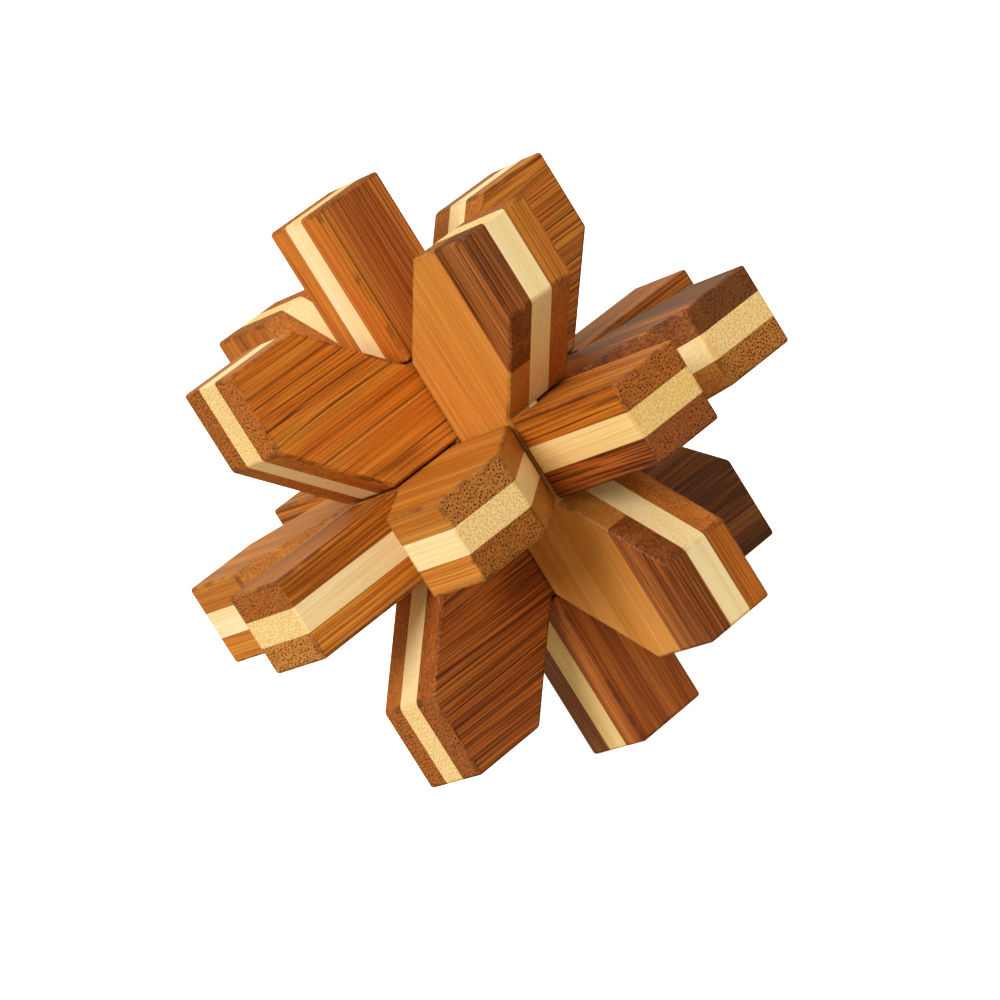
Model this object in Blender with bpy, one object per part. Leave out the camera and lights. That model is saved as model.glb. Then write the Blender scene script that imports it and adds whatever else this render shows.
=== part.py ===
"""Laminated wooden burr puzzle: six winged sticks locked round three crossed bars by one key.

Run with: blender --background --python part.py. Units are metres and +Z is up. The origin is the
centre of the puzzle, and the three bars lie along X, Y and Z.

Every stick is glued from three laminae, a pale one between two dark ones, and its notches are cut
through the glued stick. A notch deeper than half the stick cuts a lamina into two blocks, and each
block is an object of its own.
"""

from math import radians

import bmesh
import bpy
from mathutils import Matrix, Vector

# Driving sizes.
STICK = 0.014  # side of the square stick, and so the thickness of a winged stick
PETAL_REACH = 0.036  # from the centre of the puzzle to a petal's flat tips, along both its axes
BAR_LENGTH = 0.097  # end to end of a crossed bar
PALE_LAMINA = 0.0046  # thickness of the pale middle lamina
PLAY = 0.0003  # gap between the faces of two sticks
GLUE_LINE = 0.0003  # gap between two laminae of one stick
NIB_TOP = 0.0034  # height above the centre of the upright bar's nib, which hooks over bar_x

# Sizes that follow from them.
SIDE = STICK / 2  # from a bar's axis to its faces
HALF_PLAY = PLAY / 2
INNER_EDGE = SIDE + PLAY  # from the centre to the edge of a wing that lies along a bar
WEB_TOP = INNER_EDGE + STICK  # outer edge of the web that joins the two petals of a wing
SHOULDER = WEB_TOP + PLAY  # where a bar's full square section starts again beyond the web
BAR_END = BAR_LENGTH / 2
TONGUE_TIP = NIB_TOP + PLAY  # lowest point of the tongue under the top wing
OVERCUT = 0.004  # how far a cutter runs past the wood it removes

# Finishes: base colour, roughness. Bamboo has no metal in it.
DARK_TONES = {
    "amber": (0.47, 0.19, 0.055),
    "caramel": (0.36, 0.135, 0.042),
    "cocoa": (0.23, 0.082, 0.030),
}
PALE_TONE = (0.80, 0.60, 0.33)
DARK_ROUGHNESS = 0.50
PALE_ROUGHNESS = 0.56

# A stick's own axes: its length lies along local X, the laminae are stacked along local Z, and on a
# wing local Y points away from the centre. Each row gives where local X, Y and Z point.
WINGS = {
    "wing_top": ("-X", "+Z", "+Y", "caramel"),
    "wing_bottom": ("+X", "-Z", "+Y", "amber"),
    "wing_right": ("-Z", "+Y", "+X", "amber"),
    "wing_left": ("+Z", "-Y", "+X", "caramel"),
    "wing_front": ("-Y", "+X", "+Z", "caramel"),
    "wing_back": ("+Y", "-X", "+Z", "cocoa"),
}
DIRECTIONS = {"X": Vector((1, 0, 0)), "Y": Vector((0, 1, 0)), "Z": Vector((0, 0, 1))}

# Lamina layers of a stick, as (lowest, highest) along local Z.
LOWER_LAYER = (-SIDE, -PALE_LAMINA / 2 - GLUE_LINE)
PALE_LAYER = (-PALE_LAMINA / 2, PALE_LAMINA / 2)
UPPER_LAYER = (PALE_LAMINA / 2 + GLUE_LINE, SIDE)


def direction(word):
    """The unit vector for a word such as -Y."""
    return DIRECTIONS[word[1]] * (1 if word[0] == "+" else -1)


def turned_to(x_axis, y_axis, z_axis):
    """The rotation that points the local axes along the three named directions."""
    columns = Matrix([direction(word) for word in (x_axis, y_axis, z_axis)])
    return columns.transposed().to_4x4()


def clear_scene():
    for obj in list(bpy.data.objects):
        bpy.data.objects.remove(obj, do_unlink=True)


def new_collection(name):
    collection = bpy.data.collections.new(name)
    bpy.context.scene.collection.children.link(collection)
    return collection


def finish(name, colour, roughness):
    material = bpy.data.materials.new(name)
    material.use_nodes = True
    shader = material.node_tree.nodes["Principled BSDF"]
    shader.inputs["Base Color"].default_value = (*colour, 1.0)
    shader.inputs["Roughness"].default_value = roughness
    shader.inputs["Metallic"].default_value = 0.0
    material.diffuse_color = (*colour, 1.0)
    return material


def rectangle(low, high):
    """Outline of a board from corner low to corner high."""
    return [low, (high[0], low[1]), high, (low[0], high[1])]


def petal_outline(side):
    """One petal beside the web: side is -1 or +1 along the stick."""
    tip_start = PETAL_REACH - STICK
    points = [
        (INNER_EDGE, INNER_EDGE),
        (WEB_TOP, INNER_EDGE),
        (PETAL_REACH, tip_start),
        (PETAL_REACH, PETAL_REACH),
        (tip_start, PETAL_REACH),
        (INNER_EDGE, WEB_TOP),
    ]
    return [(side * x, y) for x, y in points]


def wing_outline():
    """Both petals and the web between them."""
    right = petal_outline(1)
    left = petal_outline(-1)
    return left[1:2] + right[1:] + left[:1:-1]


class Stick:
    """One loose piece of the puzzle: an empty that carries its laminae, and the cutters for them."""

    def __init__(self, name, axes, parts, cutters):
        self.name = name
        self.parts = parts
        self.cutters = cutters
        self.empty = bpy.data.objects.new(name + "_frame", None)
        self.empty.matrix_world = turned_to(*axes)
        self.empty.empty_display_size = STICK
        parts.objects.link(self.empty)

    def adopt(self, obj, collection):
        collection.objects.link(obj)
        obj.parent = self.empty

    def tool(self, label, low, high):
        """A hidden box for a Boolean, between two corners in the stick's own axes."""
        mesh = bpy.data.meshes.new(f"{self.name}_{label}")
        build = bmesh.new()
        bmesh.ops.create_cube(build, size=1.0)
        size = Vector(high) - Vector(low)
        centre = (Vector(high) + Vector(low)) / 2
        bmesh.ops.transform(
            build, matrix=Matrix.Translation(centre) @ Matrix.Diagonal(size).to_4x4(), verts=build.verts
        )
        build.to_mesh(mesh)
        build.free()
        obj = bpy.data.objects.new(f"tool_{self.name}_{label}", mesh)
        obj.hide_render = True
        obj.display_type = "WIRE"
        self.adopt(obj, self.cutters)
        return obj

    def lamina(self, label, outline, layer, material, cuts=(), joins=()):
        """A board with this outline that fills this layer, with the joins added and the cuts removed."""
        low, high = layer
        curve = bpy.data.curves.new(f"{self.name}_{label}_outline", "CURVE")
        curve.dimensions = "2D"
        curve.fill_mode = "BOTH"
        curve.extrude = (high - low) / 2
        spline = curve.splines.new("POLY")
        spline.points.add(len(outline) - 1)
        for point, (x, y) in zip(spline.points, outline):
            point.co = (x, y, 0.0, 1.0)
        spline.use_cyclic_u = True
        drawn = bpy.data.objects.new("outline", curve)
        self.parts.objects.link(drawn)
        graph = bpy.context.evaluated_depsgraph_get()
        mesh = bpy.data.meshes.new_from_object(drawn.evaluated_get(graph))
        bpy.data.objects.remove(drawn, do_unlink=True)
        bpy.data.curves.remove(curve)
        weld_and_place(mesh, (high + low) / 2)
        mesh.name = f"{self.name}_{label}"
        mesh.materials.clear()
        mesh.materials.append(material)
        obj = bpy.data.objects.new(f"{self.name}_{label}", mesh)
        self.adopt(obj, self.parts)
        for tools, operation in ((cuts, "DIFFERENCE"), (joins, "UNION")):
            for tool in tools:
                modifier = obj.modifiers.new(tool.name, "BOOLEAN")
                modifier.operation = operation
                modifier.solver = "EXACT"
                modifier.object = tool
        return obj


def weld_and_place(mesh, height):
    """Joins an outline's caps to its sides, makes each cap one face, and lifts it to its layer."""
    build = bmesh.new()
    build.from_mesh(mesh)
    bmesh.ops.remove_doubles(build, verts=build.verts, dist=0.000001)
    bmesh.ops.dissolve_limit(build, angle_limit=radians(1), verts=build.verts, edges=build.edges)
    bmesh.ops.recalc_face_normals(build, faces=build.faces)
    bmesh.ops.translate(build, verts=build.verts, vec=(0.0, 0.0, height))
    build.to_mesh(mesh)
    build.free()


def make_wing(name, axes, tone, parts, cutters):
    """Two petals joined by a web that half laps a bar.

    The lower dark lamina is cut through at the web, so it is two blocks, one in each petal.
    """
    stick = Stick(name, axes, parts, cutters)
    lap = stick.tool(
        "lap",
        (-INNER_EDGE, 0.0, -SIDE - OVERCUT),
        (INNER_EDGE, WEB_TOP + OVERCUT, HALF_PLAY),
    )
    tongues = {"long_ply": [], "pale_ply": []}
    if name == "wing_top":
        for label, low, high in (
            ("long_ply", *UPPER_LAYER),
            ("pale_ply", HALF_PLAY, PALE_LAYER[1]),
        ):
            start = (-SIDE, TONGUE_TIP, low)
            end = (-HALF_PLAY, INNER_EDGE + OVERCUT, high)
            tongues[label] = [stick.tool(f"{label}_tongue", start, end)]
    outline = wing_outline()
    colour = DARK_TONES[tone]
    dark = finish(f"{name}_long_ply", colour, DARK_ROUGHNESS)
    stick.lamina("long_ply", outline, UPPER_LAYER, dark, joins=tongues["long_ply"])
    pale = finish(f"{name}_pale_ply", PALE_TONE, PALE_ROUGHNESS)
    stick.lamina("pale_ply", outline, PALE_LAYER, pale, [lap], tongues["pale_ply"])
    for label, side in (("block_a", -1), ("block_b", 1)):
        material = finish(f"{name}_{label}", colour, DARK_ROUGHNESS)
        stick.lamina(label, petal_outline(side), LOWER_LAYER, material)


def end_blocks(stick, layer, gap, colour):
    """The two blocks that a cut leaves of a bar's lamina, each from gap to the bar's end."""
    for label, side in (("block_a", -1), ("block_b", 1)):
        near, far = sorted((side * gap, side * BAR_END))
        material = finish(f"{stick.name}_{label}", colour, DARK_ROUGHNESS)
        stick.lamina(label, rectangle((near, -SIDE), (far, SIDE)), layer, material)


def make_bar_x(parts, cutters):
    """The bar along X. Webs lap over its top, and at the centre only its +Y lower quarter is left."""
    stick = Stick("bar_x", ("+X", "+Y", "+Z"), parts, cutters)
    colour = DARK_TONES["caramel"]
    laps = stick.tool(
        "laps",
        (-SHOULDER, -SIDE - OVERCUT, -HALF_PLAY),
        (SHOULDER, SIDE + OVERCUT, SIDE + OVERCUT),
    )
    waist = stick.tool(
        "waist",
        (-INNER_EDGE, -SIDE - OVERCUT, -SIDE - OVERCUT),
        (INNER_EDGE, HALF_PLAY, SIDE + OVERCUT),
    )
    board = rectangle((-BAR_END, -SIDE), (BAR_END, SIDE))
    long_ply = finish("bar_x_long_ply", colour, DARK_ROUGHNESS)
    stick.lamina("long_ply", board, LOWER_LAYER, long_ply, [waist])
    pale = finish("bar_x_pale_ply", PALE_TONE, PALE_ROUGHNESS)
    stick.lamina("pale_ply", board, PALE_LAYER, pale, [laps, waist])
    end_blocks(stick, UPPER_LAYER, SHOULDER, colour)


def make_bar_y(parts, cutters):
    """The bar along Y. Webs lap its +X face, and at the centre only its -X upper quarter is left."""
    stick = Stick("bar_y", ("+Y", "-X", "+Z"), parts, cutters)
    colour = DARK_TONES["amber"]
    laps = stick.tool(
        "laps",
        (-SHOULDER, -SIDE - OVERCUT, -SIDE - OVERCUT),
        (SHOULDER, HALF_PLAY, SIDE + OVERCUT),
    )
    waist = stick.tool(
        "waist",
        (-INNER_EDGE, -SIDE - OVERCUT, -SIDE - OVERCUT),
        (INNER_EDGE, SIDE + OVERCUT, HALF_PLAY),
    )
    board = rectangle((-BAR_END, -SIDE), (BAR_END, SIDE))
    long_ply = finish("bar_y_long_ply", colour, DARK_ROUGHNESS)
    stick.lamina("long_ply", board, UPPER_LAYER, long_ply, [laps])
    pale = finish("bar_y_pale_ply", PALE_TONE, PALE_ROUGHNESS)
    stick.lamina("pale_ply", board, PALE_LAYER, pale, [laps, waist])
    for label, side in (("block_a", -1), ("block_b", 1)):
        near, far = sorted((side * INNER_EDGE, side * BAR_END))
        material = finish(f"bar_y_{label}", colour, DARK_ROUGHNESS)
        outline = rectangle((near, -SIDE), (far, SIDE))
        stick.lamina(label, outline, LOWER_LAYER, material, [laps])


def make_upright_bar(parts, cutters):
    """The foot and lower neck of the upright bar, up to the top of the centre.

    Its nib reaches over bar_x, so it can't drop out while that bar is in. Local X points up.
    """
    stick = Stick("upright_bar", ("+Z", "-X", "-Y"), parts, cutters)
    colour = DARK_TONES["caramel"]
    lap = stick.tool(
        "lap",
        (-SHOULDER, -SIDE - OVERCUT, -SIDE - OVERCUT),
        (HALF_PLAY, SIDE + OVERCUT, HALF_PLAY),
    )
    over_nib = stick.tool(
        "over_nib",
        (NIB_TOP, -SIDE - OVERCUT, -SIDE - OVERCUT),
        (SIDE + OVERCUT, SIDE + OVERCUT, HALF_PLAY),
    )
    waist = stick.tool(
        "waist",
        (-INNER_EDGE, -HALF_PLAY, -SIDE - OVERCUT),
        (SIDE + OVERCUT, SIDE + OVERCUT, SIDE + OVERCUT),
    )
    board = rectangle((-BAR_END, -SIDE), (SIDE, SIDE))
    long_ply = finish("upright_bar_long_ply", colour, DARK_ROUGHNESS)
    stick.lamina("long_ply", board, UPPER_LAYER, long_ply, [waist])
    pale = finish("upright_bar_pale_ply", PALE_TONE, PALE_ROUGHNESS)
    stick.lamina("pale_ply", board, PALE_LAYER, pale, [lap, over_nib, waist])
    foot = rectangle((-BAR_END, -SIDE), (-SHOULDER, SIDE))
    block = finish("upright_bar_foot_block", colour, DARK_ROUGHNESS)
    stick.lamina("foot_block", foot, LOWER_LAYER, block)


def make_key(parts, cutters):
    """The key: the upright bar's square upper end, with a half tenon down to the centre."""
    stick = Stick("key", ("+Z", "-X", "-Y"), parts, cutters)
    colour = DARK_TONES["caramel"]
    lap = stick.tool(
        "lap",
        (INNER_EDGE - OVERCUT, -SIDE - OVERCUT, -SIDE - OVERCUT),
        (SHOULDER, SIDE + OVERCUT, HALF_PLAY),
    )
    board = rectangle((INNER_EDGE, -SIDE), (BAR_END, SIDE))
    long_ply = finish("key_long_ply", colour, DARK_ROUGHNESS)
    stick.lamina("long_ply", board, UPPER_LAYER, long_ply)
    pale = finish("key_pale_ply", PALE_TONE, PALE_ROUGHNESS)
    stick.lamina("pale_ply", board, PALE_LAYER, pale, [lap])
    head = rectangle((SHOULDER, -SIDE), (BAR_END, SIDE))
    block = finish("key_head_block", colour, DARK_ROUGHNESS)
    stick.lamina("head_block", head, LOWER_LAYER, block)


def main():
    clear_scene()
    parts = new_collection("burr_puzzle")
    cutters = new_collection("burr_puzzle_cutters")
    for name, (x_axis, y_axis, z_axis, tone) in WINGS.items():
        make_wing(name, (x_axis, y_axis, z_axis), tone, parts, cutters)
    make_bar_x(parts, cutters)
    make_bar_y(parts, cutters)
    make_upright_bar(parts, cutters)
    make_key(parts, cutters)


main()
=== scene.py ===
"""Looks of a wooden burr puzzle.

Ten pieces interlock, and each is sawn from a stick of three glued bamboo laminae.
"""

from __future__ import annotations

import logging
import math
from collections.abc import Iterable
from dataclasses import dataclass, field
from enum import Enum

import bmesh
import bpy
from mathutils import Matrix, Vector

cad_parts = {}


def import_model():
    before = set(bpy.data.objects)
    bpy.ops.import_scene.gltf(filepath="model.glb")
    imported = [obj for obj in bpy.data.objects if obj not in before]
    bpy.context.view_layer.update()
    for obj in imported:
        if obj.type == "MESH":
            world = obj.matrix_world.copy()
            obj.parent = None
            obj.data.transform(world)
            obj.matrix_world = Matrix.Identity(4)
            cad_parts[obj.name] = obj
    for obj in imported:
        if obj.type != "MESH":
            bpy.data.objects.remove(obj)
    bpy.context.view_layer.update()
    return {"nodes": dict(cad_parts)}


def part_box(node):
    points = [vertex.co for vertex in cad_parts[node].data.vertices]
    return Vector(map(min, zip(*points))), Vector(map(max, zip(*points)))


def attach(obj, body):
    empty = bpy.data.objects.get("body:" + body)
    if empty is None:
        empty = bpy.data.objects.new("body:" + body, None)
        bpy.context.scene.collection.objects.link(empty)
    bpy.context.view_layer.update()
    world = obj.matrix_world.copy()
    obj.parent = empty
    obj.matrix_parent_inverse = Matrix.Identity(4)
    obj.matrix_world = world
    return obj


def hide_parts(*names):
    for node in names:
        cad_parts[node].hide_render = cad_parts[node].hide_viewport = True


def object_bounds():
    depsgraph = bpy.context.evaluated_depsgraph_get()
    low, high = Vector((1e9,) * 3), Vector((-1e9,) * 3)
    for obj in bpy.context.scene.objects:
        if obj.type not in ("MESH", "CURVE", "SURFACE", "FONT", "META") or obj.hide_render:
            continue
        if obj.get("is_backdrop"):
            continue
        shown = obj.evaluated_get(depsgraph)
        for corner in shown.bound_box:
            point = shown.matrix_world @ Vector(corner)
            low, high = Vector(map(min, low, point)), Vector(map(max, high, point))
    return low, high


logging.basicConfig(level=logging.INFO, format="%(levelname)s %(message)s")
log = logging.getLogger("burr")

MILLIMETRE = 0.001
LAMINAE = 3  # in each stick
SEAMLESS = 60.0  # a seam this far out, in millimetres, lies past every stick's end
TOUCHING = 0.01 * MILLIMETRE  # points nearer than this are the same
LEVEL = 0.001 * MILLIMETRE  # a face is level with a sawn end when it is nearer than this
EASED = "eased_edge"  # the face attribute that marks a stick's rounded edges
TREE_NAME = "fibre_ends"
FULL_WEIGHT = 100  # the strongest pull of big faces on the normals

Pair = tuple[float, float]
Triple = tuple[float, float, float]
Socket = bpy.types.NodeSocket
Value = float | Socket
Colour = Triple | Socket


def linear(red: int, green: int, blue: int) -> Triple:
    """Turns a colour as a screen shows it into scene light.

    Args:
        red: red, 0 to 255.
        green: green, 0 to 255.
        blue: blue, 0 to 255.

    Returns:
        The same colour as three linear values, 0 to 1.
    """
    shares = (c / 255 for c in (red, green, blue))
    return tuple(c / 12.92 if c <= 0.04045 else ((c + 0.055) / 1.055) ** 2.4 for c in shares)


class Side(Enum):
    """The six directions that a stick can point in, as unit vectors of the puzzle."""

    PLUS_X = (1, 0, 0)
    MINUS_X = (-1, 0, 0)
    PLUS_Y = (0, 1, 0)
    MINUS_Y = (0, -1, 0)
    PLUS_Z = (0, 0, 1)
    MINUS_Z = (0, 0, -1)

    def triple(self) -> Triple:
        """Returns the direction as three decimal numbers."""
        return tuple(float(share) for share in self.value)


@dataclass(frozen=True)
class StickAxes:
    """How a stick lies in the puzzle.

    Attributes:
        grain: the direction along its fibres.
        outward: the direction away from the puzzle's middle.
        through: the direction through its laminae.
    """

    grain: Side
    outward: Side
    through: Side

    def turn(self) -> Matrix:
        """Returns the rotation from the puzzle's x, y and z to outward, through and grain."""
        return Matrix((self.outward.value, self.through.value, self.grain.value))

    def depth(self, point: Vector) -> float:
        """Returns how far a point lies from the stick's middle plane, through its laminae."""
        return Vector(self.through.value).dot(point)


class Cane(Enum):
    """The two canes: steamed until brown, or left pale."""

    BROWN = "dark_bamboo"
    PALE = "pale_bamboo"


@dataclass(frozen=True)
class Tone:
    """The colours of one strip of cane.

    Attributes:
        ground: the wood between the fibres.
        glow: the lighter bands in it.
        fibre: the dark fibre streaks along the grain.
        end: the ground of the sawn end.
        pore: the fibre ends in the sawn end.
    """

    ground: Triple
    glow: Triple
    fibre: Triple
    end: Triple
    pore: Triple


class Tones(Enum):
    """The strips of cane that the sticks are glued from.

    Each has the colours of its Tone in their order, as a screen shows them, 0 to 255.
    """

    ORANGE = ((208, 132, 52), (224, 154, 76), (158, 84, 24), (158, 98, 42), (70, 34, 14))
    AMBER = ((206, 110, 28), (222, 138, 46), (98, 42, 6), (176, 106, 44), (62, 27, 9))
    CARAMEL = ((190, 102, 26), (212, 130, 44), (88, 38, 6), (168, 98, 40), (58, 25, 8))
    RUSSET = ((162, 78, 22), (200, 114, 44), (70, 26, 4), (172, 100, 42), (56, 24, 8))
    TAWNY = ((186, 107, 31), (212, 138, 54), (88, 40, 8), (198, 132, 66), (74, 34, 12))
    HONEY = ((218, 129, 42), (232, 156, 64), (110, 52, 10), (70, 30, 13), (40, 17, 6))
    TOFFEE = ((218, 129, 42), (232, 156, 64), (110, 52, 10), (192, 136, 70), (70, 32, 12))
    CHESTNUT = ((146, 68, 20), (184, 100, 38), (62, 24, 5), (164, 95, 42), (54, 23, 8))
    UMBER = ((138, 68, 20), (192, 114, 54), (48, 19, 5), (112, 64, 30), (38, 16, 6))
    COCOA = ((104, 52, 16), (150, 86, 38), (44, 17, 4), (134, 78, 36), (44, 18, 6))
    CREAM = ((252, 224, 170), (255, 234, 190), (234, 190, 120), (246, 206, 134), (220, 168, 94))
    STRAW = ((248, 210, 140), (254, 226, 170), (222, 170, 90), (240, 200, 128), (206, 150, 76))

    def tone(self) -> Tone:
        """Returns the strip's colours as scene light."""
        return Tone(*(linear(*colour) for colour in self.value))


@dataclass(frozen=True)
class Strip:
    """One strip of cane in a lamina: its tone and how boldly its fibres show.

    Attributes:
        tone: the strip's colours.
        streaks: how strongly the fibres darken a long face, 0 to 1.
        lines: how strongly the few bold fibre lines show, 0 to 1.
        pitch: the usual distance between bold lines, in millimetres.
    """

    tone: Tones
    streaks: float = 0.5
    lines: float = 0.4
    pitch: float = 2.6


@dataclass(frozen=True)
class Ply:
    """One lamina as glued up: an inner strip and, past a seam, an outer one. On the key the two
    strips are painted light and shade: a lit side face and a shaded broad face.

    Attributes:
        inner: the strip on the side of the puzzle's middle.
        outer: the strip outwards of the seam.
        seam: the seam's distance from the middle, outwards, in millimetres.
        tail: another strip in place of both before the stick's middle, along the grain.
    """

    inner: Strip
    outer: Strip
    seam: float = 28.0
    tail: Strip | None = None


@dataclass(frozen=True)
class Noise:
    """Smooth noise, stretched along the stick's axes.

    Attributes:
        cells: its cells for each unit outwards, through the laminae and along the grain.
        detail: how many finer layers it has.
    """

    cells: Triple
    detail: float


class Wiring:
    """Adds the nodes of one material and joins them."""

    def __init__(self, tree: bpy.types.NodeTree) -> None:
        """Takes an empty node tree."""
        self.tree = tree

    def node(self, kind: str, **settings: object) -> bpy.types.Node:
        """Adds a node.

        Args:
            kind: the node's type name.
            **settings: properties to set on it.

        Returns:
            The new node.
        """
        made = self.tree.nodes.new(kind)
        for name, value in settings.items():
            setattr(made, name, value)
        return made

    def feed(self, socket: Socket, value: Value | Colour) -> None:
        """Joins a socket to another, or sets its value.

        Args:
            socket: the input to feed.
            value: an output socket, a number, or three numbers.
        """
        if isinstance(value, Socket):
            self.tree.links.new(value, socket)
        elif isinstance(value, tuple) and len(socket.default_value) == 4:
            socket.default_value = (*value, 1.0)
        else:
            socket.default_value = value

    def math(self, operation: str, *values: Value) -> Socket:
        """Adds a Math node.

        Args:
            operation: the sum it does.
            *values: one to three inputs.

        Returns:
            Its result.
        """
        made = self.node("ShaderNodeMath", operation=operation)
        for socket, value in zip(made.inputs, values):
            self.feed(socket, value)
        return made.outputs[0]

    def step(
        self, value: Value, start: float, end: float, low: float = 0.0, high: float = 1.0
    ) -> Socket:
        """Turns a value smoothly from low at start into high at end.

        Args:
            value: what is compared.
            start: where the turn starts.
            end: where it ends.
            low: the result before it.
            high: the result after it.

        Returns:
            The result.
        """
        made = self.node("ShaderNodeMapRange", interpolation_type="SMOOTHSTEP")
        for socket, number in zip(made.inputs, (value, start, end, low, high)):
            self.feed(socket, number)
        return made.outputs[0]

    def blend(self, share: Value, first: Colour, second: Colour) -> Socket:
        """Mixes two colours.

        Args:
            share: how much of the second, 0 to 1.
            first: the first colour.
            second: the second colour.

        Returns:
            The mixed colour.
        """
        made = self.node("ShaderNodeMix", data_type="RGBA")
        sockets = (made.inputs[0], made.inputs[6], made.inputs[7])
        for socket, value in zip(sockets, (share, first, second)):
            self.feed(socket, value)
        return made.outputs[2]

    def vector(self, operation: str, first: Colour, second: Colour) -> Socket:
        """Adds a Vector Math node.

        Args:
            operation: the sum it does.
            first: the first vector.
            second: the second vector.

        Returns:
            Its vector, or its number for a dot product.
        """
        made = self.node("ShaderNodeVectorMath", operation=operation)
        self.feed(made.inputs[0], first)
        self.feed(made.inputs[1], second)
        return made.outputs["Value" if operation == "DOT_PRODUCT" else "Vector"]

    def noise(self, place: Socket, kind: Noise, output: int = 0) -> Socket:
        """Adds noise.

        Args:
            place: the place in the stick.
            kind: the noise's cells and detail.
            output: 0 for the value, 1 for the colour.

        Returns:
            The noise, 0 to 1.
        """
        made = self.node("ShaderNodeTexNoise")
        self.feed(made.inputs["Vector"], self.vector("MULTIPLY", place, kind.cells))
        made.inputs["Scale"].default_value = 1.0
        made.inputs["Detail"].default_value = kind.detail
        return made.outputs[output]


@dataclass(frozen=True)
class Grain:
    """The grain pattern of one lamina, as sockets of its material.

    Attributes:
        fibres: the place among the fibres, which sway a little along the stick.
        fine: the hair-fine streaks.
        broad: the soft bands.
        spot: how near a fibre bundle's middle is.
        strength: each bundle's own strength.
        end: how far the face cuts across the grain.
    """

    fibres: Socket
    fine: Socket
    broad: Socket
    spot: Socket
    strength: Socket
    end: Socket


@dataclass(frozen=True)
class Pattern:
    """The sizes and strengths of the grain pattern.

    Cells are counted for each millimetre. A pair gives the two values of a noise or a distance
    between which a mark comes or goes.

    Attributes:
        shift: how far apart the patterns of two seeds lie, in millimetres.
        sway: the fibres' slow sway.
        sway_width: how far the fibres sway, in millimetres.
        fine: the hair-fine streaks.
        broad: the soft bands.
        rub: the patches where the edges are rubbed.
        bundle: the usual distance between fibre bundles, in millimetres.
        scatter: how unevenly the bundles lie, 0 to 1.
        bundle_rim: the rim of a bundle, in shares of that distance.
        bundle_draw: the pair where a bundle's random draw makes it faint or strong.
        faintest: the strength of the faintest bundle.
        bundle_share: how strong bundles are beside the streaks on a long face.
        band: the soft bands' pair.
        light: the light streaks' pair.
        light_base: how strongly light streaks show where a strip has no dark ones.
        light_gain: how much more they show where the dark streaks are strong.
        dark: the dark streaks' pair.
        line: the rim of a bold line, in shares of the lines' distance.
        line_break: the pair where the streaks break a bold line up.
        line_left: what is left of a bold line where it is broken.
        rubbed: the rubbed patches' pair.
        grime: how dark an eased edge is where it isn't rubbed.
        rubbed_grime: how dark it is where it is rubbed.
    """

    shift: Triple = (17.3, 9.1, 31.7)
    sway: Noise = Noise((0.09, 0.09, 0.016), 1.0)
    sway_width: Triple = (2.2, 2.2, 0.0)
    fine: Noise = Noise((3.4, 3.4, 0.035), 3.0)
    broad: Noise = Noise((0.34, 0.34, 0.014), 2.0)
    rub: Noise = Noise((0.3, 0.3, 0.3), 3.0)
    bundle: float = 0.52
    scatter: float = 0.85
    bundle_rim: Pair = (0.26, 0.48)
    bundle_draw: Pair = (0.0, 0.9)
    faintest: float = 0.4
    bundle_share: float = 0.8
    band: Pair = (0.4, 0.68)
    light: Pair = (0.5, 0.36)
    light_base: float = 0.3
    light_gain: float = 0.5
    dark: Pair = (0.48, 0.66)
    line: Pair = (0.01, 0.065)
    line_break: Pair = (0.3, 0.6)
    line_left: float = 0.35
    rubbed: Pair = (0.35, 0.6)
    grime: float = 0.55
    rubbed_grime: float = 0.1


@dataclass(frozen=True)
class Surface:
    """How sanded and oiled bamboo takes the light.

    Attributes:
        sheen: the roughness of the long faces.
        patchiness: how far the roughness wanders to either side of that.
        patches: the soft bands' pair where it does so.
        dulling: how much rougher the sawn ends are.
        gloss: the shader's specular level.
        relief: how far the fibres stand out of the face, in metres.
        bump: the strength of that relief.
        streak_height: the streaks' share in the relief.
        bundle_depth: the bundles' share, which go down.
        cut: between which two shares a face across the grain turns into a sawn end.
        pores: how strongly fine fibre ends show in the sawn ends, beside the bold plugs.
        stain: how far the dark stain of a glue line reaches, in millimetres.
        stain_strength: how dark the stain is at the line.
    """

    sheen: float = 0.46
    patchiness: float = 0.06
    patches: Pair = (0.3, 0.7)
    dulling: float = 0.22
    gloss: float = 0.22
    relief: float = 0.00006
    bump: float = 0.6
    streak_height: float = 0.7
    bundle_depth: float = 0.45
    cut: Pair = (0.45, 0.95)
    pores: float = 0.4
    stain: float = 0.22
    stain_strength: float = 0.45


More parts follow.
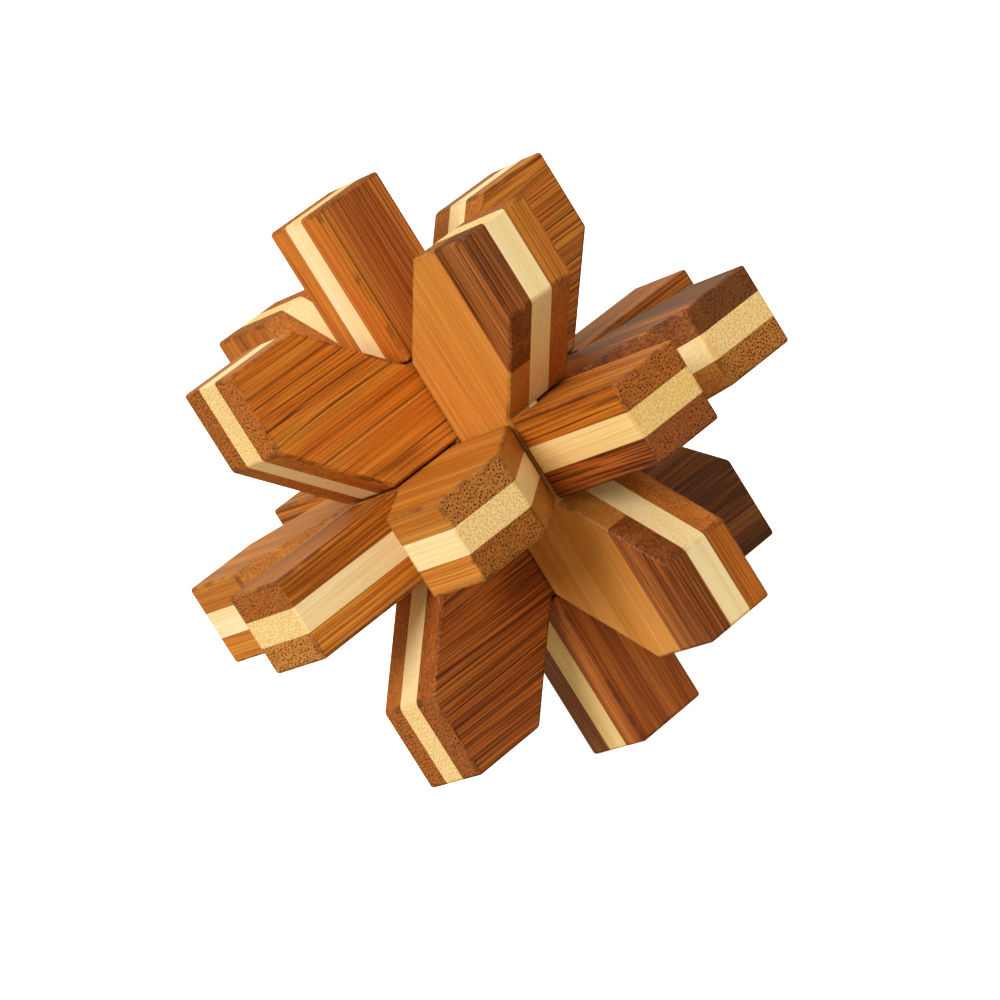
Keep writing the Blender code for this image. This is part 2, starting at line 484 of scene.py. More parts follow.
@dataclass(frozen=True)
class BambooFinish:
    """Oiled, sanded bamboo: fibres along the grain, fibre ends in the sawn ends.

    Attributes:
        name: the material's name.
        axes: how the stick lies.
        ply: the strips that the lamina is glued from.
        seed: shifts the pattern, so that no two laminae are alike.
        glue: the depth of the glue lines from the stick's middle, in millimetres.
        pattern: the sizes of the grain pattern.
        surface: how it takes the light.
    """

    name: str
    axes: StickAxes
    ply: Ply
    seed: int
    glue: float
    pattern: Pattern = Pattern()
    surface: Surface = Surface()

    def material(self) -> bpy.types.Material:
        """Returns the finished material."""
        made = bpy.data.materials.new(self.name)
        made.use_nodes = True
        made.node_tree.nodes.clear()
        wires = Wiring(made.node_tree)
        place = self._place(wires)
        shift = tuple(self.seed * step for step in self.pattern.shift)
        grown = wires.vector("ADD", place, shift)
        grain = self._grain(wires, grown)
        colour = self._worn(wires, self._strips(wires, place, grain), grown)
        self._shader(wires, colour, grain)
        return made

    def _place(self, wires: Wiring) -> Socket:
        """Returns the place in the stick in millimetres: outwards, through, along the grain."""
        coordinates = wires.node("ShaderNodeTexCoord")
        mapping = wires.node("ShaderNodeMapping")
        wires.feed(mapping.inputs["Vector"], coordinates.outputs["Object"])
        mapping.inputs["Rotation"].default_value = self.axes.turn().to_euler()
        mapping.inputs["Scale"].default_value = (1 / MILLIMETRE,) * 3
        return mapping.outputs[0]

    def _grain(self, wires: Wiring, grown: Socket) -> Grain:
        """Returns the grain pattern at the shifted place in the stick."""
        pattern = self.pattern
        drift = wires.noise(grown, pattern.sway, output=1)
        centred = wires.vector("SUBTRACT", drift, (0.5, 0.5, 0.5))
        offset = wires.vector("MULTIPLY", centred, pattern.sway_width)
        fibres = wires.vector("ADD", grown, offset)
        fine = wires.noise(fibres, pattern.fine)
        broad = wires.noise(fibres, pattern.broad)
        spot, strength = self._bundles(wires, fibres)
        return Grain(fibres, fine, broad, spot, strength, self._end_share(wires))

    def _end_share(self, wires: Wiring) -> Socket:
        """Returns how far a face cuts across the grain: 0 on long faces, 1 on sawn ends."""
        coordinates = wires.node("ShaderNodeTexCoord")
        normal = coordinates.outputs["Normal"]
        across = wires.vector("DOT_PRODUCT", normal, self.axes.grain.triple())
        return wires.step(wires.math("ABSOLUTE", across), *self.surface.cut)

    def _bundles(self, wires: Wiring, fibres: Socket) -> tuple[Socket, Socket]:
        """Returns how near a fibre bundle's middle is, and each bundle's own strength."""
        pattern = self.pattern
        cells = wires.node("ShaderNodeTexVoronoi", voronoi_dimensions="2D")
        wires.feed(cells.inputs["Vector"], fibres)
        cells.inputs["Scale"].default_value = 1 / pattern.bundle
        cells.inputs["Randomness"].default_value = pattern.scatter
        apart = wires.node("ShaderNodeSeparateColor")
        wires.feed(apart.inputs[0], cells.outputs["Color"])
        spot = wires.step(cells.outputs["Distance"], *pattern.bundle_rim, 1.0, 0.0)
        return spot, wires.step(apart.outputs[0], *pattern.bundle_draw, pattern.faintest, 1.0)

    def _strips(self, wires: Wiring, place: Socket, grain: Grain) -> Socket:
        """Returns the colour of the lamina's strips, with the stain of each glue line."""
        apart = wires.node("ShaderNodeSeparateXYZ")
        wires.feed(apart.inputs[0], place)
        outward, through, along = apart.outputs
        colour = self._strip_colour(wires, self.ply.inner, grain)
        if self.ply.outer != self.ply.inner:
            past_seam = wires.math("GREATER_THAN", outward, self.ply.seam)
            outer = self._strip_colour(wires, self.ply.outer, grain)
            colour = wires.blend(past_seam, colour, outer)
        if self.ply.tail:
            before_middle = wires.math("LESS_THAN", along, 0.0)
            tail = self._strip_colour(wires, self.ply.tail, grain)
            colour = wires.blend(before_middle, colour, tail)
        from_seam = wires.math("ABSOLUTE", wires.math("SUBTRACT", outward, self.ply.seam))
        depth = wires.math("ABSOLUTE", through)
        from_glue = wires.math("ABSOLUTE", wires.math("SUBTRACT", depth, self.glue))
        joint = wires.math("MINIMUM", from_seam, from_glue)
        stain = wires.step(joint, 0.0, self.surface.stain, self.surface.stain_strength, 0.0)
        return wires.blend(stain, colour, self.ply.inner.tone.tone().fibre)

    def _strip_colour(self, wires: Wiring, strip: Strip, grain: Grain) -> Socket:
        """Returns the colour of one strip."""
        tone = strip.tone.tone()
        pattern = self.pattern
        light_strength = pattern.light_base + pattern.light_gain * strip.streaks
        light = wires.math("MULTIPLY", wires.step(grain.fine, *pattern.light), light_strength)
        bright = wires.math("MAXIMUM", wires.step(grain.broad, *pattern.band), light)
        ground = wires.blend(bright, tone.ground, tone.glow)
        streak = wires.math("MULTIPLY", wires.step(grain.fine, *pattern.dark), strip.streaks)
        dots = wires.math("MULTIPLY", grain.spot, grain.strength)
        bundle = wires.math("MULTIPLY", dots, strip.streaks * pattern.bundle_share)
        long_face = wires.blend(wires.math("MAXIMUM", streak, bundle), ground, tone.fibre)
        long_face = wires.blend(self._lines(wires, strip, grain), long_face, tone.fibre)
        end_ground = wires.blend(grain.fine, tone.end, tone.ground)
        pores = wires.math("MULTIPLY", dots, self.surface.pores)
        end_face = wires.blend(pores, end_ground, tone.pore)
        return wires.blend(grain.end, long_face, end_face)

    def _lines(self, wires: Wiring, strip: Strip, grain: Grain) -> Socket:
        """Returns how strongly the few bold lines show, which the fine streaks break up."""
        cells = wires.node(
            "ShaderNodeTexVoronoi", voronoi_dimensions="2D", feature="DISTANCE_TO_EDGE"
        )
        wires.feed(cells.inputs["Vector"], grain.fibres)
        cells.inputs["Scale"].default_value = 1 / strip.pitch
        broken = wires.step(grain.fine, *self.pattern.line_break, self.pattern.line_left, 1.0)
        line = wires.step(cells.outputs["Distance"], *self.pattern.line, strip.lines, 0.0)
        return wires.math("MULTIPLY", line, broken)

    def _worn(self, wires: Wiring, colour: Socket, grown: Socket) -> Socket:
        """Returns the colour with eased edges darkened by handling, less where they are rubbed."""
        pattern = self.pattern
        eased = wires.node("ShaderNodeAttribute", attribute_name=EASED)
        rub = wires.noise(grown, pattern.rub)
        grime = wires.step(rub, *pattern.rubbed, pattern.grime, pattern.rubbed_grime)
        dark = wires.math("MULTIPLY", eased.outputs["Fac"], grime)
        return wires.blend(dark, colour, self.ply.inner.tone.tone().pore)

    def _shader(self, wires: Wiring, colour: Socket, grain: Grain) -> None:
        """Adds the shader, its roughness and its relief."""
        surface = self.surface
        shader = wires.node("ShaderNodeBsdfPrincipled")
        output = wires.node("ShaderNodeOutputMaterial")
        wires.feed(shader.inputs["Base Color"], colour)
        dull = wires.math("MULTIPLY", grain.end, surface.dulling)
        smooth, rough = surface.sheen - surface.patchiness, surface.sheen + surface.patchiness
        patchy = wires.step(grain.broad, *surface.patches, smooth, rough)
        wires.feed(shader.inputs["Roughness"], wires.math("ADD", patchy, dull))
        shader.inputs["Specular IOR Level"].default_value = surface.gloss
        ridges = wires.math("MULTIPLY", grain.fine, surface.streak_height)
        hollows = wires.math("MULTIPLY", grain.spot, surface.bundle_depth)
        bump = wires.node("ShaderNodeBump")
        bump.inputs["Strength"].default_value = surface.bump
        bump.inputs["Distance"].default_value = surface.relief
        wires.feed(bump.inputs["Height"], wires.math("SUBTRACT", ridges, hollows))
        wires.feed(shader.inputs["Normal"], bump.outputs[0])
        wires.feed(output.inputs["Surface"], shader.outputs[0])


@dataclass(frozen=True)
class Easing:
    """How a stick's sawn edges are sanded.

    Attributes:
        width: how far the rounding goes back from the edge.
        segments: how many facets it has.
        roundness: its profile; 0.5 is an arc of a circle.
        flattest: edges flatter than this angle stay as they are.
        crisp: edges left sharper than this angle shade as sharp.
        level: faces that turn less than this angle from each other become one.
        gap: the widest gap that a glue line closes.
    """

    width: float = 0.00055
    segments: int = 3
    roundness: float = 0.5
    flattest: float = math.radians(20)
    crisp: float = math.radians(35)
    level: float = math.radians(0.5)
    gap: float = 0.5 * MILLIMETRE


@dataclass
class Lamina:
    """One lamina of a stick: its sawn solid, closed against its neighbour and eased.

    Attributes:
        node: the solid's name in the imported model.
        axes: how the stick lies.
        glue: the depth of the glue line from the stick's middle.
        easing: how the edges are sanded.
    """

    node: str
    axes: StickAxes
    glue: float
    easing: Easing = field(default_factory=Easing)

    def build(self, nodes: dict[str, bpy.types.Object]) -> bpy.types.Object:
        """Makes the lamina.

        Args:
            nodes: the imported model's solids by name.

        Returns:
            The lamina, at the origin, without a material.
        """
        shape = bmesh.new()
        shape.from_mesh(nodes[self.node].data)
        for layer in list(shape.loops.layers.uv):
            shape.loops.layers.uv.remove(layer)
        bmesh.ops.remove_doubles(shape, verts=shape.verts, dist=TOUCHING)
        bmesh.ops.dissolve_limit(
            shape, angle_limit=self.easing.level, verts=shape.verts, edges=shape.edges
        )
        self._close_glue_line(shape)
        mark = shape.faces.layers.float.new(EASED)
        for face in self._ease(shape):
            face[mark] = 1.0
        for face in shape.faces:
            face.smooth = True
            face.material_index = 0
        for edge in shape.edges:
            edge.smooth = edge.calc_face_angle(0.0) < self.easing.crisp
        mesh = bpy.data.meshes.new(f"{self.node}_wood")
        shape.to_mesh(mesh)
        shape.free()
        return with_flat_faces(linked(f"{self.node}_wood", mesh))

    def _close_glue_line(self, shape: bmesh.types.BMesh) -> None:
        """Moves the lamina's inner face to the glue line, so that the stick shows no gap."""
        through = Vector(self.axes.through.value)
        for vertex in shape.verts:
            depth = self.axes.depth(vertex.co)
            gap = abs(depth) - self.glue
            if 0 < gap < self.easing.gap:
                vertex.co -= through * math.copysign(gap, depth)

    def _ease(self, shape: bmesh.types.BMesh) -> list[bmesh.types.BMFace]:
        """Rounds the stick's outer edges that lie on this lamina, and returns the new faces."""
        outer = [
            edge
            for edge in shape.edges
            if edge.is_manifold
            and edge.calc_face_angle_signed() > self.easing.flattest
            and not self._on_glue_line(edge)
        ]
        made = bmesh.ops.bevel(
            shape,
            geom=outer,
            offset=self.easing.width,
            offset_type="OFFSET",
            segments=self.easing.segments,
            profile=self.easing.roundness,
            affect="EDGES",
            clamp_overlap=True,
        )
        return made["faces"]

    def _on_glue_line(self, edge: bmesh.types.BMEdge) -> bool:
        """Returns whether an edge lies in a glue line, where nothing is eased."""
        start, end = (self.axes.depth(vertex.co) for vertex in edge.verts)
        return max(abs(start - end), abs(abs(start) - self.glue)) < TOUCHING


def linked(name: str, mesh: bpy.types.Mesh) -> bpy.types.Object:
    """Puts a mesh in the scene.

    Args:
        name: the object's name.
        mesh: its mesh.

    Returns:
        The new object, at the origin.
    """
    made = bpy.data.objects.new(name, mesh)
    bpy.context.scene.collection.objects.link(made)
    return made


def baked(piece: bpy.types.Object) -> bpy.types.Object:
    """Turns a piece and its modifiers into a plain mesh.

    Args:
        piece: the piece.

    Returns:
        The same object with the result as its mesh and no modifiers.
    """
    bpy.context.view_layer.update()
    graph = bpy.context.evaluated_depsgraph_get()
    result = bpy.data.meshes.new_from_object(
        piece.evaluated_get(graph), preserve_all_data_layers=True, depsgraph=graph
    )
    piece.modifiers.clear()
    old, piece.data = piece.data, result
    name = old.name
    bpy.data.meshes.remove(old)
    result.name = name
    return piece


def with_flat_faces(piece: bpy.types.Object) -> bpy.types.Object:
    """Keeps big faces flat and lets only the rounded edges shade across.

    Args:
        piece: the piece, shaded smooth.

    Returns:
        The same piece with its normals set.
    """
    weighted = piece.modifiers.new("flat_faces", "WEIGHTED_NORMAL")
    weighted.mode = "FACE_AREA"
    weighted.weight = FULL_WEIGHT
    weighted.keep_sharp = True
    return baked(piece)


@dataclass(frozen=True)
class FibreEnds:
    """The boldest cut fibre ends in a stick's sawn tips, as short plugs strewn over the faces.

    Attributes:
        spacing: the least distance between two plugs.
        tries: how many plugs are tried for each square of that side.
        radius: a full-sized plug's radius.
        taper: its radius at the top, as a share of the foot's.
        smallest: the smallest plug, as a share of the full size.
        depth: how long a plug is.
        lift: how far it stands out of the wood.
        corners: the corners of a plug.
        brown: the fibre ends' colour in brown cane.
        pale: their colour in pale cane.
        patches: the patches where they fade, with cells for each metre.
        fading: between which two values of the patches they do so.
        fade: how far the colour fades towards the pale one there.
        dulling: between which two values of the patches they get duller.
        dullness: the least and the greatest roughness.
        gloss: the shader's specular level.
    """

    spacing: float = 0.00047
    tries: float = 4.0
    radius: float = 0.00022
    taper: float = 0.9
    smallest: float = 0.55
    depth: float = 0.00005
    lift: float = 0.00001
    corners: int = 7
    brown: Triple = linear(62, 26, 8)
    pale: Triple = linear(222, 176, 106)
    patches: Noise = Noise((900.0, 900.0, 900.0), 1.0)
    fading: Pair = (0.35, 0.65)
    fade: float = 0.12
    dulling: Pair = (0.3, 0.7)
    dullness: Pair = (0.6, 0.75)
    gloss: float = 0.2

    def sizes(self) -> dict[str, float | int]:
        """Returns the node tree's sizes by the names of its inputs."""
        return {
            "Spacing": self.spacing,
            "Tries": self.tries,
            "Radius": self.radius,
            "Taper": self.taper,
            "Smallest": self.smallest,
            "Depth": self.depth,
            "Lift": self.lift,
            "Corners": self.corners,
        }

    def tree(self) -> bpy.types.NodeTree:
        """Returns the node tree, which all sticks share."""
        if TREE_NAME in bpy.data.node_groups:
            return bpy.data.node_groups[TREE_NAME]
        tree = bpy.data.node_groups.new(TREE_NAME, "GeometryNodeTree")
        kinds = {"Tips": "Geometry"}
        for name, size in self.sizes().items():
            kinds[name] = "Int" if isinstance(size, int) else "Float"
        kinds |= {"Seed": "Int", "Finish": "Material"}
        for name, kind in kinds.items():
            tree.interface.new_socket(name, in_out="INPUT", socket_type=f"NodeSocket{kind}")
        tree.interface.new_socket("Plugs", in_out="OUTPUT", socket_type="NodeSocketGeometry")
        wires = Wiring(tree)
        given = wires.node("NodeGroupInput").outputs
        strewn = wires.node("GeometryNodeDistributePointsOnFaces", distribute_method="POISSON")
        plug = wires.node("GeometryNodeMeshCone", fill_type="NGON")
        raised = wires.node("GeometryNodeTransform")
        above = wires.node("ShaderNodeCombineXYZ")
        size = wires.node("FunctionNodeRandomValue", data_type="FLOAT")
        placed = wires.node("GeometryNodeInstanceOnPoints")
        real = wires.node("GeometryNodeRealizeInstances")
        dressed = wires.node("GeometryNodeSetMaterial")
        square = wires.math("MULTIPLY", given["Spacing"], given["Spacing"])
        densest = wires.math("DIVIDE", given["Tries"], square)
        for node, socket, value in (
            (strewn, "Mesh", given["Tips"]),
            (strewn, "Distance Min", given["Spacing"]),
            (strewn, "Density Max", densest),
            (strewn, "Seed", given["Seed"]),
            (plug, "Vertices", given["Corners"]),
            (plug, "Radius Top", wires.math("MULTIPLY", given["Radius"], given["Taper"])),
            (plug, "Radius Bottom", given["Radius"]),
            (plug, "Depth", given["Depth"]),
            (above, 2, wires.math("SUBTRACT", given["Lift"], given["Depth"])),
            (raised, "Geometry", plug.outputs[0]),
            (raised, "Translation", above.outputs[0]),
            (size, 2, given["Smallest"]),
            (size, 3, 1.0),
            (size, "Seed", given["Seed"]),
            (placed, "Points", strewn.outputs["Points"]),
            (placed, "Instance", raised.outputs[0]),
            (placed, "Rotation", strewn.outputs["Rotation"]),
            (placed, "Scale", size.outputs[1]),
            (real, 0, placed.outputs[0]),
            (dressed, "Geometry", real.outputs[0]),
            (dressed, "Material", given["Finish"]),
            (wires.node("NodeGroupOutput"), 0, dressed.outputs[0]),
        ):
            wires.feed(node.inputs[socket], value)
        return tree

    def finish(self, name: str, axes: StickAxes, glue: float) -> bpy.types.Material:
        """Makes the plugs' material: brown outside the glue lines, tan between them.

        Args:
            name: the material's name.
            axes: how the stick lies.
            glue: the depth of the glue lines from the stick's middle.

        Returns:
            The material.
        """
        made = bpy.data.materials.new(name)
        made.use_nodes = True
        wires = Wiring(made.node_tree)
        shader = made.node_tree.nodes["Principled BSDF"]
        place = wires.node("ShaderNodeTexCoord").outputs["Object"]
        across = wires.vector("DOT_PRODUCT", place, axes.through.triple())
        in_pale = wires.math("LESS_THAN", wires.math("ABSOLUTE", across), glue)
        colour = wires.blend(in_pale, self.brown, self.pale)
        patches = wires.noise(place, self.patches)
        faded = wires.step(patches, *self.fading, 0.0, self.fade)
        wires.feed(shader.inputs["Base Color"], wires.blend(faded, colour, self.pale))
        dull = wires.step(patches, *self.dulling, *self.dullness)
        wires.feed(shader.inputs["Roughness"], dull)
        shader.inputs["Specular IOR Level"].default_value = self.gloss
        return made

    def build(
        self, name: str, tips: bmesh.types.BMesh, seed: int, finish: bpy.types.Material
    ) -> bpy.types.Object:
        """Strews the plugs.

        Args:
            name: the piece's name.
            tips: the faces of the sawn tips.
            seed: which strewing it is.
            finish: the plugs' material.

        Returns:
            The plugs as one plain mesh.
        """
        mesh = bpy.data.meshes.new(name)
        tips.to_mesh(mesh)
        for kept in [layer for layer in mesh.attributes if layer.name == "custom_normal"]:
            mesh.attributes.remove(kept)
        mesh.shade_flat()
        piece = linked(name, mesh)
        modifier = piece.modifiers.new("fibre_ends", "NODES")
        modifier.node_group = self.tree()
        given = {**self.sizes(), "Seed": seed, "Finish": finish}
        for item in modifier.node_group.interface.items_tree:
            if item.in_out == "INPUT" and item.name in given:
                modifier[item.identifier] = given[item.name]
        return baked(piece)


@dataclass
class Stick:
    """One loose piece of the puzzle: a stick of three laminae and its fibre ends.

    Attributes:
        name: the piece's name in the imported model.
        axes: how it lies.
        upper: the brown lamina at the far side through the stick.
        lower: the brown lamina at the near side.
        seed: where its grain pattern starts.
        body: the body that it moves with.
        pale: the pale lamina between them.
        upper_nodes: the upper lamina's solids.
        lower_nodes: the lower lamina's solids.
    """

    name: str
    axes: StickAxes
    upper: Ply
    lower: Ply
    seed: int
    body: str = "frame"
    pale: Ply = Ply(
        Strip(Tones.CREAM, streaks=0.3, lines=0.1, pitch=3.4),
        Strip(Tones.CREAM, streaks=0.22, lines=0.06, pitch=2.8),
        seam=22.0,
    )
    upper_nodes: tuple[str, ...] = ("long_ply",)
    lower_nodes: tuple[str, ...] = ("block_a", "block_b")
    laminae: list[tuple[bpy.types.Object, Cane, Ply]] = field(default_factory=list, init=False)

    def glue_depth(self) -> float:
        """Returns the depth of the glue lines: half of the pale lamina's thickness."""
        low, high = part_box(f"{self.name}_pale_ply")
        return max(abs(self.axes.depth(low)), abs(self.axes.depth(high)))

    def build(self, nodes: dict[str, bpy.types.Object]) -> None:
        """Makes the laminae.

        Args:
            nodes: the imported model's solids by name.
        """
        layers = (
            (self.upper_nodes, Cane.BROWN, self.upper),
            (("pale_ply",), Cane.PALE, self.pale),
            (self.lower_nodes, Cane.BROWN, self.lower),
        )
        for members, cane, ply in layers:
            for member in members:
                node = f"{self.name}_{member}"
                wood = Lamina(node, self.axes, self.glue_depth()).build(nodes)
                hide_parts(node)
                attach(wood, self.body)
                self.laminae.append((wood, cane, ply))
        log.info("%s: %d laminae on body %s", self.name, len(self.laminae), self.body)

    def dress(self) -> None:
        """Gives each lamina its bamboo."""
        glue = self.glue_depth() / MILLIMETRE
        finishes: dict[Ply, bpy.types.Material] = {}
        for wood, cane, ply in self.laminae:
            if ply not in finishes:
                name = f"{self.name}_{cane.value}_{len(finishes)}"
                seed = self.seed * LAMINAE + len(finishes)
                finishes[ply] = BambooFinish(name, self.axes, ply, seed, glue).material()
            wood.data.materials.clear()
            wood.data.materials.append(finishes[ply])
        self._strew_fibre_ends()

    def _strew_fibre_ends(self) -> None:
        """Adds the bold fibre ends in the stick's outermost faces across the grain."""
        grain = Vector(self.axes.grain.value)
        tips = bmesh.new()
        for wood, _, _ in self.laminae:
            tips.from_mesh(wood.data)
        reach = [grain.dot(vertex.co) for vertex in tips.verts]
        ends = (min(reach), max(reach))
        inner = []
        for face in tips.faces:
            along = grain.dot(face.calc_center_median())
            if min(abs(along - end) for end in ends) >= LEVEL:
                inner.append(face)
        bmesh.ops.delete(tips, geom=inner, context="FACES")
        name = f"{self.name}_fibre_ends"
        style = FibreEnds()
        plugs = style.build(name, tips, self.seed, style.finish(name, self.axes, self.glue_depth()))
        tips.free()
        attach(plugs, self.body)
        log.info("%s: %d faces of fibre ends", self.name, len(plugs.data.polygons))


def plain(tone: Tones, streaks: float = 0.5, lines: float = 0.4, pitch: float = 2.6) -> Ply:
    """Returns a lamina of a single strip."""
    strip = Strip(tone, streaks, lines, pitch)
    return Ply(strip, strip, SEAMLESS)


def puzzle() -> list[Stick]:
    """Returns the ten pieces, in the order in which they are put together."""
    x, y, z = Side.PLUS_X, Side.PLUS_Y, Side.PLUS_Z
    mx, my, mz = Side.MINUS_X, Side.MINUS_Y, Side.MINUS_Z
    upright = StickAxes(z, mx, my)
    straw = plain(Tones.STRAW, streaks=0.4, lines=0.12, pitch=3.0)
    cream = plain(Tones.CREAM, streaks=0.4, lines=0.12, pitch=3.0)
    close_grained = Strip(Tones.CARAMEL, streaks=0.75, lines=0.8, pitch=1.7)
    dark_strip = Strip(Tones.UMBER, streaks=0.6, lines=0.8, pitch=1.3)
    bold_russet = Strip(Tones.RUSSET, streaks=0.7, lines=0.9, pitch=2.0)
    return [
        Stick(
            name="upright_bar",
            axes=upright,
            upper=plain(Tones.UMBER, streaks=0.6, lines=0.4),
            lower=plain(Tones.RUSSET, streaks=0.5, lines=0.3),
            seed=1,
            pale=straw,
            lower_nodes=("foot_block",),
        ),
        Stick(
            name="bar_x",
            axes=StickAxes(x, y, z),
            upper=plain(Tones.CARAMEL, streaks=0.8, lines=0.8),
            lower=plain(Tones.TOFFEE, streaks=0.6, lines=0.5),
            seed=2,
            pale=cream,
            upper_nodes=("block_a", "block_b"),
            lower_nodes=("long_ply",),
        ),
        Stick(
            name="bar_y",
            axes=StickAxes(y, mx, z),
            upper=plain(Tones.CARAMEL, streaks=0.7, lines=0.8),
            lower=plain(Tones.CHESTNUT, streaks=0.9, lines=0.7),
            seed=3,
            pale=straw,
        ),
        Stick(
            name="wing_bottom",
            axes=StickAxes(x, mz, y),
            upper=Ply(
                bold_russet, bold_russet, SEAMLESS, tail=Strip(Tones.COCOA, streaks=0.5, lines=0.6)
            ),
            lower=plain(Tones.CARAMEL),
            seed=4,
        ),
        Stick(
            name="wing_right",
            axes=StickAxes(mz, y, x),
            upper=Ply(Strip(Tones.ORANGE, streaks=0.3, lines=0.1), dark_strip, seam=28.0),
            lower=plain(Tones.CARAMEL),
            seed=5,
        ),
        Stick(
            name="wing_left",
            axes=StickAxes(z, my, mx),
            upper=plain(Tones.CARAMEL),
            lower=plain(Tones.AMBER, streaks=0.4, lines=0.3),
            seed=6,
        ),
        Stick(
            name="wing_front",
            body="wing_front",
            axes=StickAxes(my, x, z),
            upper=plain(Tones.TAWNY, streaks=0.35, lines=0.25),
            lower=plain(Tones.HONEY, streaks=0.4, lines=0.3),
            seed=7,
        ),
        Stick(
            name="wing_back",
            body="wing_back",
            axes=StickAxes(y, mx, z),
            upper=Ply(
                Strip(Tones.UMBER, streaks=0.7, lines=0.5),
                Strip(Tones.COCOA, streaks=0.5, lines=0.3),
                seam=25.0,
            ),
            lower=plain(Tones.TAWNY, streaks=0.6, lines=0.5),
            seed=8,
        ),
        Stick(
            name="wing_top",
            body="wing_top",
            axes=StickAxes(mx, z, y),
            upper=Ply(
                close_grained,
                close_grained,
                SEAMLESS,
                tail=Strip(Tones.AMBER, streaks=0.5, lines=0.95, pitch=2.4),
            ),
            lower=plain(Tones.CARAMEL),
            seed=9,
        ),
        Stick(
            name="key",
            body="key",
            axes=upright,
            upper=plain(Tones.AMBER),
            # Painted light and shade: the seam sits at the rounded edge. The lighter amber strip
            # covers only the +X side face and is painted as lit. The darker russet strip covers the
            # broad face and is painted as shaded.
            lower=Ply(
                Strip(Tones.AMBER, streaks=0.4, lines=0.3),
                Strip(Tones.RUSSET, streaks=0.5, lines=0.8, pitch=2.2),
                seam=-5.9,
            ),
            seed=10,
            lower_nodes=("head_block",),
        ),
    ]


@dataclass(frozen=True)
class Lamp:
    """One soft studio light, far away.

    Attributes:
        name: its name.
        towards: the direction from the puzzle to the light.
        strength: how strong it is.
        softness: how wide it looks from the puzzle, in radians.
        colour: its colour.
    """

    name: str
    towards: Triple
    strength: float
    softness: float
    colour: Triple = (1.0, 1.0, 1.0)

    def build(self) -> None:
        """Hangs the light."""
        light = bpy.data.lights.new(self.name, "SUN")
        light.energy = self.strength
        light.angle = self.softness
        light.color = self.colour
        lamp = bpy.data.objects.new(self.name, light)
        lamp.rotation_mode = "QUATERNION"
        lamp.rotation_quaternion = Vector(self.towards).to_track_quat("Z", "Y")
        bpy.context.scene.collection.objects.link(lamp)


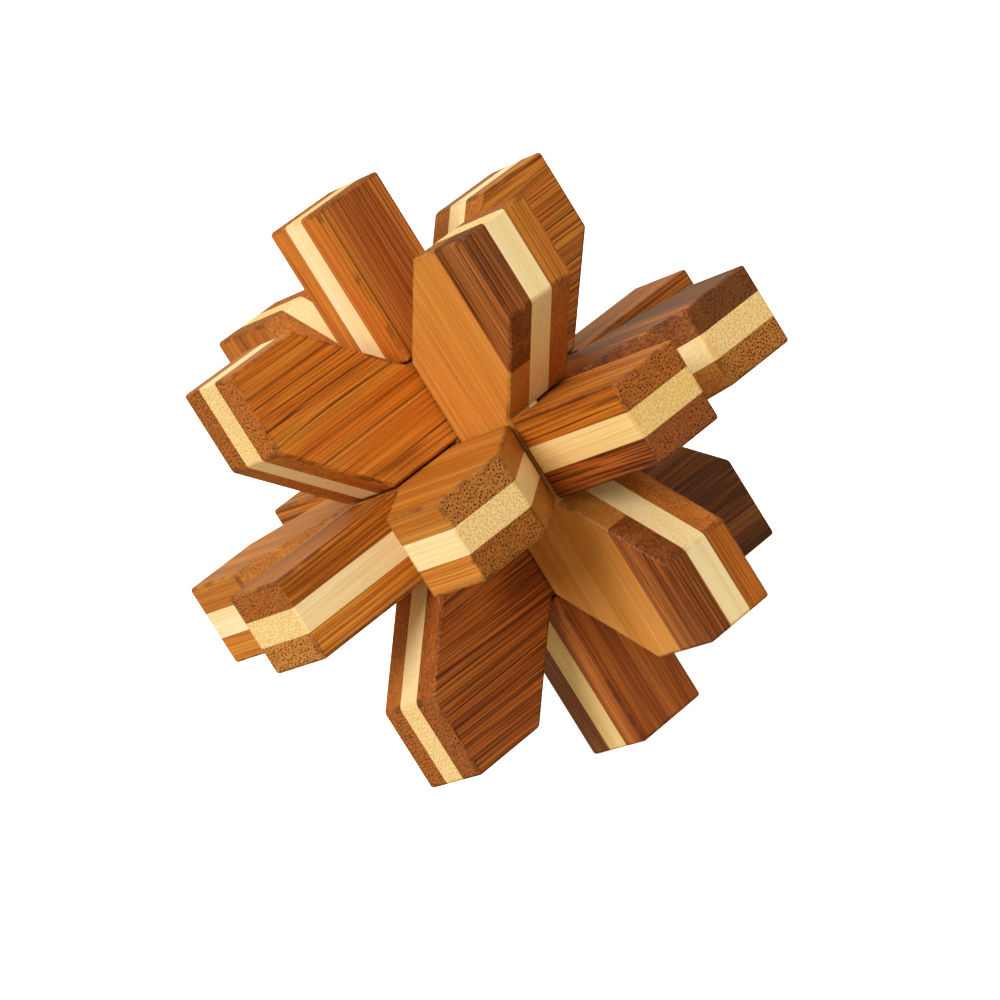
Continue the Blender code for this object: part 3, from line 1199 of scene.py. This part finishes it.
@dataclass(frozen=True)
class Studio:
    """A white table under soft light.

    Attributes:
        lamps: the lights.
        air: the colour of the room's light.
        sky: the strength of the room's light above the table.
        ground: its strength below the table.
        horizon: how far above and below the horizon the one turns into the other.
        floor_size: the side of the table.
        floor_glow: how much the table shines by itself, as a light table does.
        floor_white: how light the table is.
        floor_dullness: its roughness.
    """

    lamps: tuple[Lamp, ...] = (
        Lamp(
            name="key_light",
            towards=(0.8, 0.42, 0.55),
            strength=2.2,
            softness=math.radians(25),
            colour=(1.0, 1.0, 0.99),
        ),
        Lamp(
            name="top_light", towards=(-0.1, 0.25, 0.96), strength=0.8, softness=math.radians(50)
        ),
    )
    air: Triple = (1.0, 0.94, 0.7)
    sky: float = 0.6
    ground: float = 0.45
    horizon: float = 0.3
    floor_size: float = 20.0
    floor_glow: float = 0.85
    floor_white: float = 0.9
    floor_dullness: float = 0.9

    def build(self) -> None:
        """Sets up the table, the room and the lights."""
        for lamp in self.lamps:
            lamp.build()
        world = bpy.data.worlds.new("studio")
        world.use_nodes = True
        wires = Wiring(world.node_tree)
        apart = wires.node("ShaderNodeSeparateXYZ")
        wires.feed(apart.inputs[0], wires.node("ShaderNodeTexCoord").outputs["Generated"])
        background = world.node_tree.nodes["Background"]
        background.inputs["Color"].default_value = (*self.air, 1)
        light = wires.step(apart.outputs[2], -self.horizon, self.horizon, self.ground, self.sky)
        wires.feed(background.inputs["Strength"], light)
        bpy.context.scene.world = world
        bpy.context.scene.view_settings.view_transform = "Standard"
        self._floor()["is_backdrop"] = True

    def _floor(self) -> bpy.types.Object:
        """Returns the table top, at the height of the puzzle's foot."""
        low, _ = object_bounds()
        half = self.floor_size / 2
        mesh = bpy.data.meshes.new("floor")
        corners = [
            (side * half, end * half, low[2]) for side, end in ((-1, -1), (1, -1), (1, 1), (-1, 1))
        ]
        mesh.from_pydata(corners, [], [(0, 1, 2, 3)])
        made = bpy.data.materials.new("white_table")
        made.use_nodes = True
        shader = made.node_tree.nodes["Principled BSDF"]
        shader.inputs["Base Color"].default_value = (*(self.floor_white,) * 3, 1)
        shader.inputs["Roughness"].default_value = self.floor_dullness
        shader.inputs["Specular IOR Level"].default_value = 0.0
        shader.inputs["Emission Color"].default_value = (1, 1, 1, 1)
        shader.inputs["Emission Strength"].default_value = self.floor_glow
        mesh.materials.append(made)
        floor = linked("floor", mesh)
        floor.visible_diffuse = False
        floor.visible_glossy = False
        return floor


@dataclass(frozen=True)
class Viewpoint:
    """Where the camera stands.

    Attributes:
        azimuth: its direction round the puzzle, from +X towards +Y, in degrees.
        elevation: how high it looks from, in degrees.
        roll: how far the camera is turned about its line of sight, in degrees.
        distance: its distance from the aim.
        aim: the point that it looks at.
        lens: its focal length, in millimetres.
        sensor: the width of its sensor, in millimetres.
        nearest: the nearest that it sees.
        farthest: the farthest that it sees.
    """

    azimuth: float = 55.25
    elevation: float = 8.91
    roll: float = -31.9
    distance: float = 0.786
    aim: Triple = (0.0013, 0.0001, -0.0055)
    lens: float = 181.5
    sensor: float = 36.0
    nearest: float = 0.01
    farthest: float = 100.0

    def build(self) -> None:
        """Sets up the camera."""
        azimuth, elevation, roll = map(math.radians, (self.azimuth, self.elevation, self.roll))
        flat = math.cos(elevation)
        towards = Vector(
            (flat * math.cos(azimuth), flat * math.sin(azimuth), math.sin(elevation))
        )
        level = Vector((0, 0, 1)).cross(towards).normalized()
        upright = towards.cross(level)
        right = level * math.cos(roll) + upright * math.sin(roll)
        up = towards.cross(right)
        place = Matrix((right, up, towards)).transposed().to_4x4()
        place.translation = Vector(self.aim) + towards * self.distance
        data = bpy.data.cameras.new("camera")
        data.lens = self.lens
        data.sensor_width = self.sensor
        data.clip_start = self.nearest
        data.clip_end = self.farthest
        camera = bpy.data.objects.new("camera", data)
        camera.matrix_world = place
        bpy.context.scene.collection.objects.link(camera)
        bpy.context.scene.camera = camera


def main() -> None:
    """Builds the puzzle, its studio and its camera."""
    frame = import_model()
    for stick in puzzle():
        stick.build(frame["nodes"])
        stick.dress()
    Studio().build()
    Viewpoint().build()


if __name__ == "__main__":
    main()
